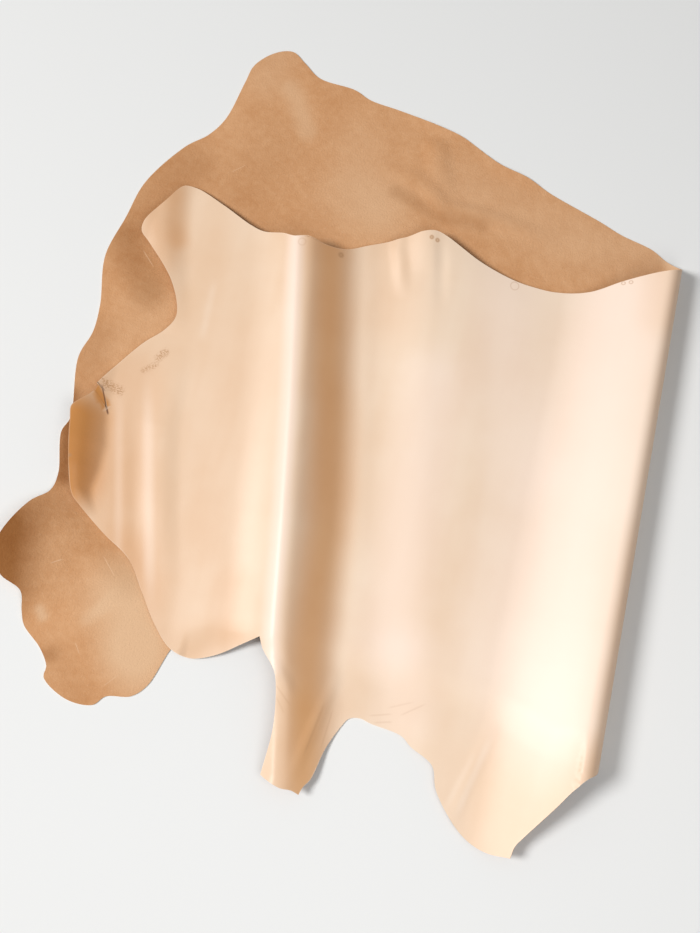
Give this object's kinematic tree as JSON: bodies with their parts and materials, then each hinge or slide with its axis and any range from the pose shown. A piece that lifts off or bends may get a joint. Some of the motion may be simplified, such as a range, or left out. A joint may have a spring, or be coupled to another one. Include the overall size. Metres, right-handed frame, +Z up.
{
  "type": "folded leather side",
  "caption": "Side of undyed leather folded once lengthwise: flesh side up below, smooth grain side up above, with a natural uneven outline, shanks, a rolled fold and one long crest.",
  "frame": {"origin": "centre of the bounding box's bottom face, on the surface that the leather lies on", "axes": "+Z up; +Y along the fold, towards the under layer's shank; +X towards the rolled fold"},
  "size_m": [1.1615, 1.4482, 0.08],
  "materials": {
    "leather": "natural undyed vegetable-tanned grain, smooth and half matt; the flesh side is darker tan and nappy"
  },
  "bodies": {
    "root": {"leather_side": "leather"}
  },
  "joints": []
}
